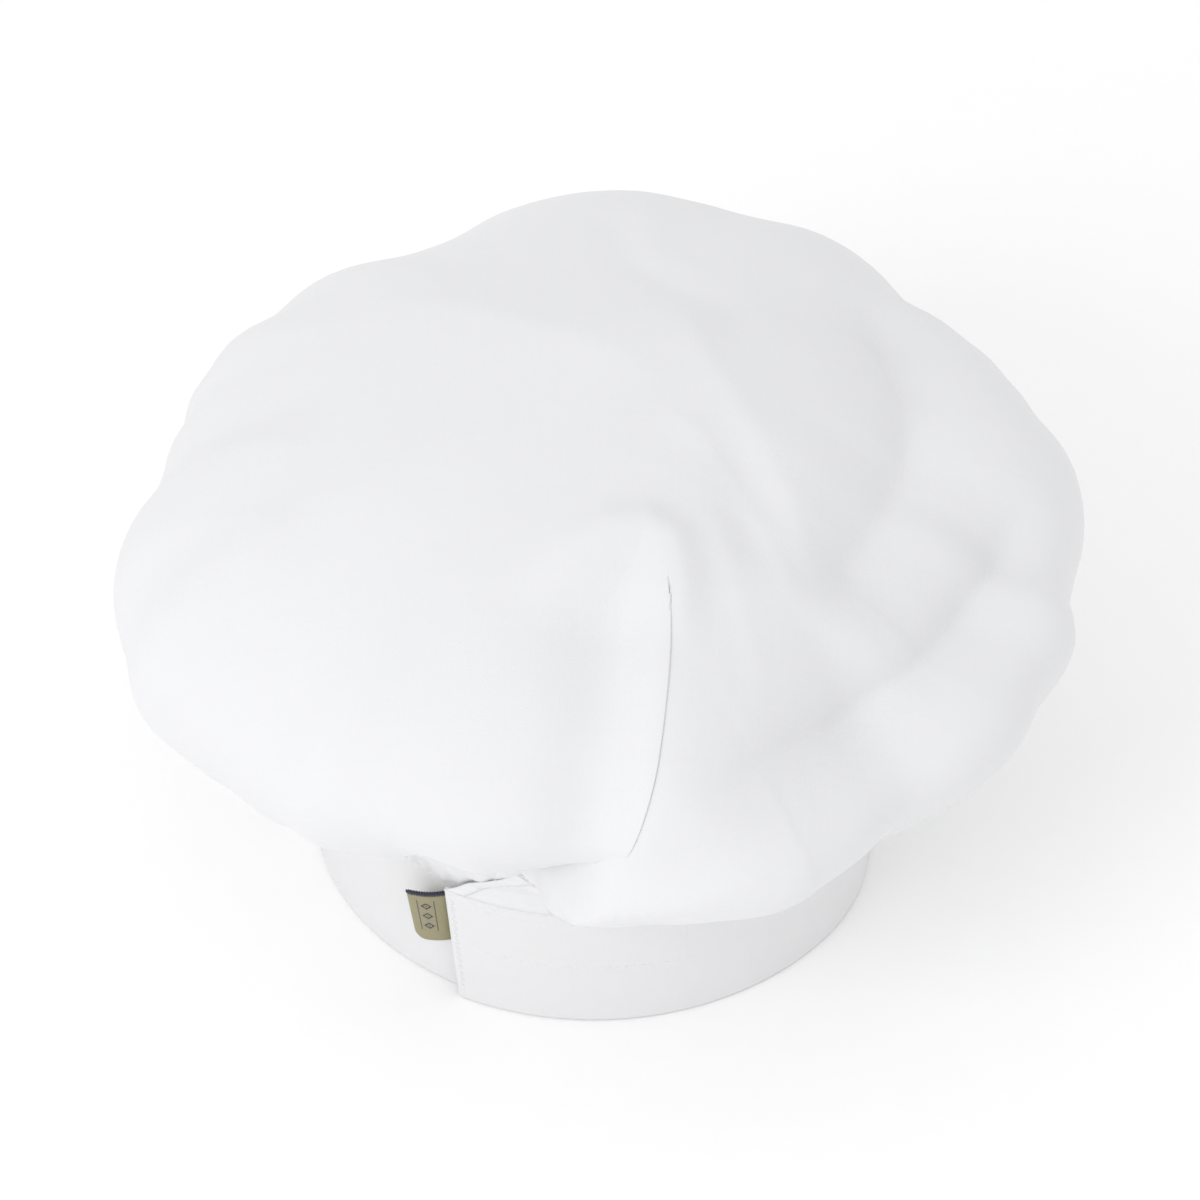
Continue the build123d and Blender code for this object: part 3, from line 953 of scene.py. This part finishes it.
class TOQUE_OT_tapes(bpy.types.Operator):
    """Lays the loop tape on the tail and the hook tape in the flap, each with its own pile"""

    bl_idname = "toque.tapes"
    bl_label = "Hook and loop tapes"

    def execute(self, context):
        ground, air = 0.00034, 0.00005
        loop_in = HEAD_RADIUS + BAND_THICK + air
        hook_out = HEAD_RADIUS + STEP_OUT - air
        loop_cloth = tape_material("loop_tape_weave", (0.74, 0.74, 0.75), 1500, 0.0003)
        hook_cloth = tape_material("hook_tape_weave", (0.70, 0.70, 0.71), 1200, 0.0002)
        loops = wire_shape(0.000055, 0.00030, 0.00030, 180)
        hooks = wire_shape(0.00009, 0.00024, 0.00042, 215)
        self.tape("loop_tape", LOOP_TAPE, (loop_in, loop_in + ground), loop_cloth, loops, 0.00115, 1, "hat")
        self.tape("hook_tape", HOOK_TAPE, (hook_out - ground, hook_out), hook_cloth, hooks, 0.00155, -1, "flap")
        return {"FINISHED"}

    def tape(self, node, angles, radii, cloth, shape, spacing, faces_out, body):
        """A tape's ground, and its pile in rows on the side that faces_out tells: 1 outward, -1 inward."""
        ground = tape_strip(f"{node}_ground", node, angles, *radii, cloth)
        bottom, top = z_range(node)
        low, high = bottom + SELVEDGE, top - SELVEDGE
        surface = radii[1] if faces_out > 0 else radii[0]
        rng = np.random.default_rng(31 if faces_out > 0 else 32)
        columns = int(radians(angles[1] - angles[0]) * surface / spacing)
        rows = int((high - low) / spacing)
        a, z = np.meshgrid(np.linspace(angles[0] + 0.5, angles[1] - 0.5, columns), np.linspace(low, high, rows))
        loose = 0.32 if faces_out > 0 else 0.05
        a = a.ravel() + rng.uniform(-1, 1, a.size) * loose * np.degrees(spacing / surface)
        z = z.ravel() + rng.uniform(-1, 1, z.size) * loose * spacing
        a = np.radians(slanted(a, z))
        up = faces_out * np.stack([np.cos(a), np.sin(a), 0 * a], axis=-1)
        turn = rng.uniform(0, 2 * pi, a.size) if faces_out > 0 else rng.choice([0, pi], a.size)
        side = np.stack([-np.sin(a), np.cos(a), 0 * a], axis=-1)
        along = side * np.cos(turn)[:, None] + np.array([0, 0, 1.0]) * np.sin(turn)[:, None]
        tall = rng.uniform(0.8, 1.0, (a.size, 1)) if faces_out > 0 else 1.0
        places = np.stack([surface * np.cos(a), surface * np.sin(a), z], axis=-1) - up * 0.00003
        nylon = thread_material(f"{node}_nylon", (0.76, 0.76, 0.77))
        pile = repeated(f"{node}_pile", shape, places, along, np.cross(up, along), up * tall, nylon)
        for piece in (ground, pile):
            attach(piece, body)
        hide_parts(node)
        length = radians(angles[1] - angles[0]) * sum(radii) / 2


# ---------------------------------------------------------------- the slit's free side

LAP_ROOT = 99.3  # the lap's radius in the flap's upper seam
LAP_FOOT = 50.0  # the height where it leaves that seam
LAP_TOP = 72.0
LAP_END = 140.6  # the angle where it ends
LAP_SLOPE = 0.72  # degrees that its free edge moves along for each millimetre it rises
HEM_WIDTH = 4.6


def neck_radius(angle, height):
    """Radius of the crown's underside at an angle and height near the closure, in millimetres, read from a table
    that is smoothed over the pleat's layers."""
    shape = CrownShape()
    angles = np.arange(56.0, 146.0)
    along = np.linspace(shape.length[-1], 228, 70)[:, None]
    levels = np.linspace(50, 78, 29)
    table = np.zeros((len(angles), len(levels)))
    for side, first, last in ((-1.0, 0, 91), (0.0, 0, 91), (1.0, 86, 360)):
        places = shape.place(along, np.broadcast_to(angles, (len(along), len(angles))), side=side, depth=1.0)
        radius = np.hypot(places[..., 0], places[..., 1])
        for i in np.flatnonzero((angles >= first) & (angles <= last)):
            table[i] = np.maximum(table[i], np.interp(levels, places[:, i, 2], radius[:, i]))
    for _ in range(16):
        table[1:-1] = (table[:-2] + 2 * table[1:-1] + table[2:]) / 4
        table[:, 1:-1] = (table[:, :-2] + 4 * table[:, 1:-1] + table[:, 2:]) / 6
    angle, height = np.broadcast_arrays(np.asarray(angle, float), np.asarray(height, float))
    a = np.clip(angle - angles[0], 0, len(angles) - 1.001)
    h = np.clip(height - levels[0], 0, len(levels) - 1.001)
    i, j = a.astype(int), h.astype(int)
    below = mixed(table[i, j], table[i + 1, j], a - i)
    above = mixed(table[i, j + 1], table[i + 1, j + 1], a - i)
    return mixed(below, above, h - j)


def lap_top(angle):
    """Height of the lap's upper edge, hidden where it goes in under the crown."""
    return LAP_TOP - 12.5 * smooth(88, 110, angle)


def lap_place(angle, height, lift=0.0):
    """A place on the lap in millimetres. It leaves the seam upright, swells over it, lies on the crown's neck and
    dips into it at its top."""
    rng = np.random.default_rng(12)
    swell = 0.8 * bell(height - 52.5, 2.2) * (height > LAP_FOOT)
    r = LAP_ROOT + swell - 3.6 * smooth(51, 72, height) + lift
    soft = waves(rng, angle, 5, 9, 22) * 0.5 * smooth(LAP_FOOT, 62, height)
    pucker = waves(rng, angle, 5, 60, 96) * 0.22 * smooth(LAP_FOOT, 51.5, height) * (1 - smooth(53, 58, height))
    crest = 0.8 * bell(angle - 81, 2.6) * bell(height - 53.5, 2.0)
    hollow = 0.8 * bell(angle - 85, 2.6) * bell(height - 54, 2.4)
    r = r + soft + pucker + (crest - hollow)
    neck, top = neck_radius(angle, height) + lift, lap_top(angle)
    # where the lap would sink into the neck it is pushed out, with an even curve between
    short = neck + 0.9 - r
    r = r + 0.5 * (short + np.sqrt(short**2 + 0.4)) * smooth(LAP_FOOT, 51, height)
    r = mixed(r, neck - 1.3, smooth(top - 6, top - 1, height))
    a = np.radians(angle)
    return np.stack([r * np.cos(a), r * np.sin(a), np.broadcast_to(height, r.shape)], axis=-1)


def lap_edge(height):
    """The angle of the lap's free edge at a height."""
    return 61.75 + LAP_SLOPE * np.clip(height - 50.3, 0, None)


def on_hem(height, width):
    """The angle of a place on the hem at a height, that many millimetres in from the lap's free edge."""
    return lap_edge(height) + np.degrees(width / LAP_ROOT) * 1.25


class TOQUE_OT_lap(bpy.types.Operator):
    """Sews the slit's free side into the flap, with its sloping turned hem"""

    bl_idname = "toque.lap"
    bl_label = "Slit lap"

    def execute(self, context):
        cloth = cloth_material("lap_poplin", context.scene.toque_crown.cloth_colour, crumple=0.8)
        share = np.linspace(0, 1, 140)[None, :] ** 1.15
        level = np.concatenate([np.linspace(42.5, 49.5, 6), np.linspace(50.2, LAP_TOP, 36)])[:, None]
        angle = mixed(lap_edge(level), LAP_END, share)
        stretch = (lap_top(angle) - LAP_FOOT) / (LAP_TOP - LAP_FOOT)
        height = np.where(level > LAP_FOOT, LAP_FOOT + (level - LAP_FOOT) * stretch, level)
        lap = self.sheet("slit_lap_cloth", lap_place(angle, height) * MM, cloth, 0.0004)
        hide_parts("crown_slit_lap")
        bends_with_flap(lap)
        up = np.linspace(50.15, LAP_TOP - 1, 40)[:, None]
        wide = np.array([HEM_WIDTH, 3.4, 2.3, 1.2, 0.5, 0.1, -0.1, 0.0, 0.3])[None, :]
        lift = np.array([0.28, 0.46, 0.5, 0.5, 0.46, 0.34, 0.12, -0.1, -0.25])[None, :]
        puff = 0.12 * waves(np.random.default_rng(5), up * 20, 4, 5, 11) * bell(wide - 2, 1.5)
        hem = self.sheet("slit_hem_cloth", lap_place(on_hem(up, wide), up, lift + puff) * MM, cloth, 0.00035)
        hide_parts("slit_hem")
        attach(hem, "flap")
        holes = [(on_hem(h, 3.7), h) for h in np.arange(50.9, 66.5, 1.9)]
        thread = bpy.data.materials["sewing_thread"]
        stitches = sewn("slit_hem_stitches", holes, self.face, 0.0004, thread, 4)
        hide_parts("slit_hem_stitching")
        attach(stitches, "flap")
        return {"FINISHED"}

    def face(self, angles, heights):
        """Places on the hem's outer face, and the way each faces."""
        places = lap_place(angles, heights, 0.62) * MM
        a = np.radians(angles)
        return places, np.stack([np.cos(a), np.sin(a), 0.15 + 0 * a], axis=-1)

    def sheet(self, name, points, cloth, thickness):
        rows, columns = points.shape[:2]
        piece = mesh_object(name, points.reshape(-1, 3), grid_faces(rows, columns))
        steps = np.cumsum(np.linalg.norm(np.diff(points, axis=1, prepend=points[:, :1]), axis=2), axis=1)
        rise = np.cumsum(np.linalg.norm(np.diff(points, axis=0, prepend=points[:1]), axis=2), axis=0)
        add_cut_map(piece, np.stack([steps, rise], axis=-1).reshape(-1, 2))
        as_cloth(piece, thickness, cloth)
        return piece


# ---------------------------------------------------------------- the label


def label_material(colour, motif_colour):
    """A damask label: fine ribs, a worn lustre and a column of plain woven lozenges on the outer layer."""
    material, surface, place = new_material("label_damask")
    cut = place.out("ShaderNodeUVMap", 0, {"uv_map": "cut"})
    across, along, _ = cut.parts()
    thread, period, middle = 0.00022, 0.0047, 0.0078
    # a woven shape has whole threads for its edges
    column, row = across.maths("SNAP", across, thread), along.maths("SNAP", along, thread)
    within = (row / period).maths("FRACT", row / period) * period - period / 2
    away = (column - middle).size() * 0.75 + within.size()
    ring = away.ramp(0.00088, 0.00092) * away.ramp(0.00158, 0.00162, 1, 0)
    dot = away.ramp(0.00032, 0.00036, 1, 0)
    bars = ((column - middle).size() - 0.0031).size().ramp(0.00014, 0.00018, 1, 0)
    lengthwise = along.ramp(0.0048, 0.0049) * along.ramp(0.0191, 0.0192, 1, 0)
    inside = lengthwise * across.ramp(0.0136, 0.0137, 1, 0)
    mark = ((ring + dot).least(1) + bars * 0.8).least(1) * inside
    rib = (along * (2 * pi / thread)).sine()
    warp = (across * (2 * pi / (thread * 1.4))).sine()
    lustre = place.noise(900, 3, 0.6)
    ground = (rib.ramp(-1, 1) * 0.35 + lustre * 0.65).ramp(0.2, 0.8)
    feed(
        surface,
        Base_Color=mark.colours(ground.colours(toned(colour, 0.72), toned(colour)), toned(motif_colour)),
        Roughness=lustre * 0.25 + 0.42,
        Normal=(rib * 0.5 + warp * 0.35 + mark * 1.2).bump(0.5, 0.00012),
        Sheen_Weight=0.3,
    )
    return material


class TOQUE_OT_label(bpy.types.Operator):
    """Folds the woven label, overlocks its upper edge and sews it under the flap's end"""

    bl_idname = "toque.label"
    bl_label = "Label"

    def execute(self, context):
        values = context.scene.toque_label
        low, high = z_range("woven_label")
        wide, caught, layer, gap = LABEL_WIDTH, 0.0011, 0.00024, 0.00015
        outer = np.linspace(-caught, wide - 0.0003, 22)
        front, back, by_bend = layer / 2, 1.5 * layer + gap, wide - 0.0001
        bend = [(by_bend, front + gap * 0.3), (wide, layer + gap / 2), (by_bend, 1.5 * layer + gap * 0.7)]
        path = [(u, front) for u in outer] + bend + [(u, back) for u in outer[::-1]]
        u, depth = np.array(path).T
        corner = 0.0038  # the radius of its rounded lower corner
        into = np.clip((u - (wide - corner)) / corner, 0, 1)
        bottom = low + corner * (1 - np.sqrt(1 - into**2))
        share = np.linspace(0, 1, 26)[:, None]
        z = mixed(bottom[None, :], high, share)
        points = self.place(u[None, :], z, depth[None, :])
        label = mesh_object("label_cloth", points.reshape(-1, 3), grid_faces(*z.shape))
        run = np.concatenate([[0], np.cumsum(np.hypot(np.diff(u), np.diff(depth)))]) - caught
        add_cut_map(label, np.stack(np.broadcast_arrays(run[None, :], z - low), axis=-1).reshape(-1, 2))
        as_cloth(label, layer, label_material(values.ground_colour, values.motif_colour))
        edging = self.edging(high, wide, 2 * layer + gap, values.motif_colour)
        for piece, node in ((label, "woven_label"), (edging, "label_edging")):
            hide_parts(node)
            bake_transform(piece)
        return {"FINISHED"}

    def facing(self):
        """The way the label runs from its sewn side to its free one."""
        return Vector((sin(radians(LABEL_FACES)), -cos(radians(LABEL_FACES)), 0))

    def place(self, u, z, depth):
        """A place on the label: along its width, at a height, that deep behind its face. It narrows towards its
        foot, and its free side curls back towards the tail."""
        a = radians(LABEL_FACES)
        out = np.clip(u, 0, None) / LABEL_WIDTH
        down = np.clip((BAND_TOP - z) / LABEL_REACH, 0, 1.1)
        u = u - 0.0014 * out - down * mixed(0.0018, 0.0032, out)
        bow = 0.0006 * np.sin(out * pi) - 0.0024 * out**1.6
        back = depth - bow
        x = LABEL_ROOT.x + u * sin(a) - back * cos(a)
        y = LABEL_ROOT.y - u * cos(a) - back * sin(a)
        return np.stack(np.broadcast_arrays(x, y, z), axis=-1)

    def edging(self, high, wide, thick, colour):
        """Overlocking thread wound over the label's upper edge."""
        top = z_range("label_edging")[1]
        steps, sides, loops = 150, 12, 15
        u = np.linspace(-0.0008, wide + 0.0004, steps)[:, None]
        turn = np.linspace(0, 2 * pi, sides, endpoint=False)[None, :]
        phase = u / wide * loops * 2 * pi + 1.2 * np.sin(turn)
        wound = 1 + 0.20 * np.sin(phase)
        ends = np.sqrt(np.clip(1 - (2 * (u - u[0]) / (u[-1] - u[0]) - 1) ** 16, 0.02, 1))
        half = (top - high) / 2 + 0.0003
        z = (top + high) / 2 - 0.0003 + half * np.sin(turn) * wound * ends
        depth = thick / 2 + (thick / 2 + 0.00022) * np.cos(turn) * wound * ends
        points = self.place(np.broadcast_to(u, z.shape), z, depth)
        return closed_tube("label_overlock", points, sides, thread_material("edging_thread", colour))


# ---------------------------------------------------------------- the interlining


class TOQUE_OT_interlining(bpy.types.Operator):
    """Gives the band's stiffener its bonded-fibre finish, and cuts the flap's to follow its sloping end"""

    bl_idname = "toque.interlining"
    bl_label = "Interlining"

    def execute(self, context):
        material, surface, place = new_material("bonded_fibre")
        fibres = place.noise(420, 5, 0.75, (1, 1, 3)) * 0.6 + place.noise(1500, 3, 0.6) * 0.4
        tone = fibres.ramp(0.35, 0.65).colours((0.66, 0.655, 0.64, 1), (0.79, 0.785, 0.775, 1))
        rough = fibres.ramp(0.2, 0.8, 0.8, 0.95)
        feed(surface, Base_Color=tone, Roughness=rough, Normal=fibres.bump(0.5, 0.0002))
        in_band = frame["nodes"]["band_stiffener"]
        in_band.data.materials.clear()
        in_band.data.materials.append(material)
        angles = (FLAP_END + 1.0, STEP_TO - 0.4)
        middle, half = HEAD_RADIUS + STEP_OUT + BAND_THICK / 2, 0.00035
        in_flap = tape_strip("flap_interlining", "flap_stiffener", angles, middle - half, middle + half, material)
        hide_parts("flap_stiffener")
        bends_with_flap(in_flap)
        radians(angles[1] - angles[0]) * middle  # fmt: skip
        return {"FINISHED"}


# ---------------------------------------------------------------- the stage


class TOQUE_OT_stage(bpy.types.Operator):
    """Pale floor, soft studio light and the camera"""

    bl_idname = "toque.stage"
    bl_label = "Stage"

    def execute(self, context):
        values = context.scene.toque_stage
        scene = context.scene
        bpy.ops.object.select_all(action="DESELECT")
        bpy.ops.mesh.primitive_plane_add(size=12, location=(0, 0, -0.0002))
        floor = context.active_object
        floor.name = "floor"
        material, surface, place = new_material("floor_paper")
        grain = place.noise(60, 3).ramp(0.3, 0.7)
        pale = grain.colours(toned(values.floor_colour), toned(values.floor_colour, 0.995))
        feed(surface, Base_Color=pale, Roughness=0.9, Specular_IOR_Level=0.1)
        floor.data.materials.append(material)
        world = bpy.data.worlds.new("studio")
        world.use_nodes = True
        sky = world.node_tree.nodes["Background"]
        sky.inputs[0].default_value = (1.0, 1.0, 1.0, 1)
        sky.inputs[1].default_value = values.fill_power
        scene.world = world
        key = bpy.data.lights.new("key", "AREA")
        key.shape, key.size, key.energy = "DISK", 1.0, values.key_power
        self.aimed("key", key, (1.15, 1.25, 1.25), (0, 0, 0.1))
        camera = bpy.data.cameras.new("camera")
        camera.lens = values.lens
        scene.camera = self.aimed("camera", camera, (-0.0019, 1.150, 1.208), (-0.0019, 0, 0.0953))
        scene.view_settings.view_transform = "Standard"
        return {"FINISHED"}

    def aimed(self, name, data, place, target):
        """A light or a camera that looks at a place."""
        made = bpy.data.objects.new(name, data)
        bpy.context.scene.collection.objects.link(made)
        made.location = place
        made.rotation_euler = (Vector(target) - Vector(place)).to_track_quat("-Z", "Y").to_euler()
        return made


class TOQUE_PT_panel(bpy.types.Panel):
    """Lists the toque's pieces in the order they are made"""

    bl_idname = "TOQUE_PT_panel"
    bl_label = "Soft Toque"
    bl_space_type = "VIEW_3D"
    bl_region_type = "UI"
    bl_category = "Toque"

    def draw(self, context):
        for operator in STEPS:
            self.layout.operator(operator.bl_idname)


SETTINGS = {
    "toque_crown": CrownSettings,
    "toque_band": BandSettings,
    "toque_label": LabelSettings,
    "toque_stage": StageSettings,
}
STEPS = [TOQUE_OT_stage, TOQUE_OT_crown, TOQUE_OT_band, TOQUE_OT_interlining, TOQUE_OT_tapes, TOQUE_OT_stitching,
         TOQUE_OT_lap, TOQUE_OT_label]  # fmt: skip
CLASSES = [*SETTINGS.values(), *STEPS, TOQUE_PT_panel]


def register():
    for each in CLASSES:
        bpy.utils.register_class(each)
    for name, group in SETTINGS.items():
        setattr(bpy.types.Scene, name, bpy.props.PointerProperty(type=group))


def unregister():
    for name in SETTINGS:
        delattr(bpy.types.Scene, name)
    for each in reversed(CLASSES):
        bpy.utils.unregister_class(each)


def main():
    register()
    for operator in STEPS:
        group, step = operator.bl_idname.split(".")
        getattr(getattr(bpy.ops, group), step)()


if __name__ == "__main__":
    main()
